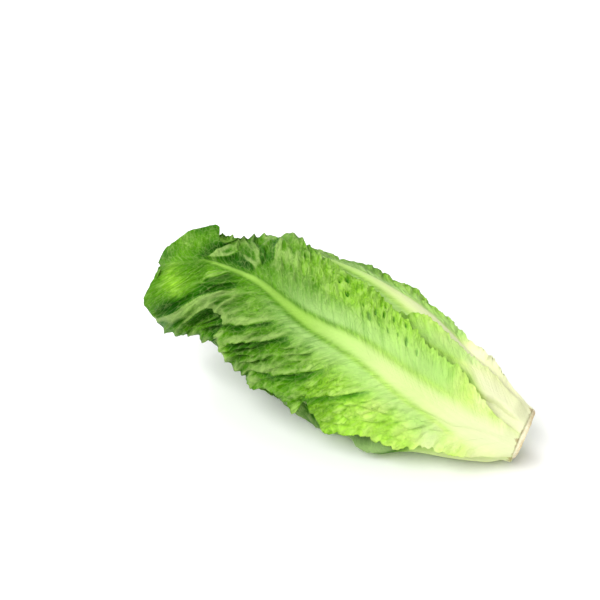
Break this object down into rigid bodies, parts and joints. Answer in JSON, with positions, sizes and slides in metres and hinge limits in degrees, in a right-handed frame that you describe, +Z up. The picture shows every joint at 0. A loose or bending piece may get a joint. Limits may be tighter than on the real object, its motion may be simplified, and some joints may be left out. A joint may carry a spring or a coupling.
{
  "type": "romaine heart",
  "caption": "Trimmed head of romaine lettuce lying on its side, crinkled green leaves with pale midribs closing round a cut stem.",
  "frame": {"origin": "centre of the box round the heart, at the floor it lies on", "axes": "+Z up; +X along the heart towards the cut butt, so the leaf tips are at -X; -Y is the side of the front leaf's lower margin"},
  "size_m": [0.2408, 0.1026, 0.0998],
  "materials": {
    "stem": "moist cream stem tissue",
    "leaf_green": "satin leaf, pale rib to green blade",
    "leaf_pale": "satin pale inner leaf"
  },
  "bodies": {
    "root": {"stem": "stem", "leaf_01": "leaf_green", "leaf_02": "leaf_green", "leaf_03": "leaf_green", "leaf_04": "leaf_green", "leaf_05": "leaf_green", "leaf_06": "leaf_green", "leaf_07": "leaf_green", "leaf_08": "leaf_green", "leaf_09": "leaf_pale", "leaf_10": "leaf_pale", "leaf_11": "leaf_pale", "leaf_12": "leaf_pale", "leaf_13": "leaf_pale", "leaf_14": "leaf_pale", "leaf_15": "leaf_pale", "leaf_16": "leaf_pale", "leaf_17": "leaf_pale", "leaf_18": "leaf_pale", "leaf_19": "leaf_pale", "leaf_20": "leaf_pale"}
  },
  "joints": []
}
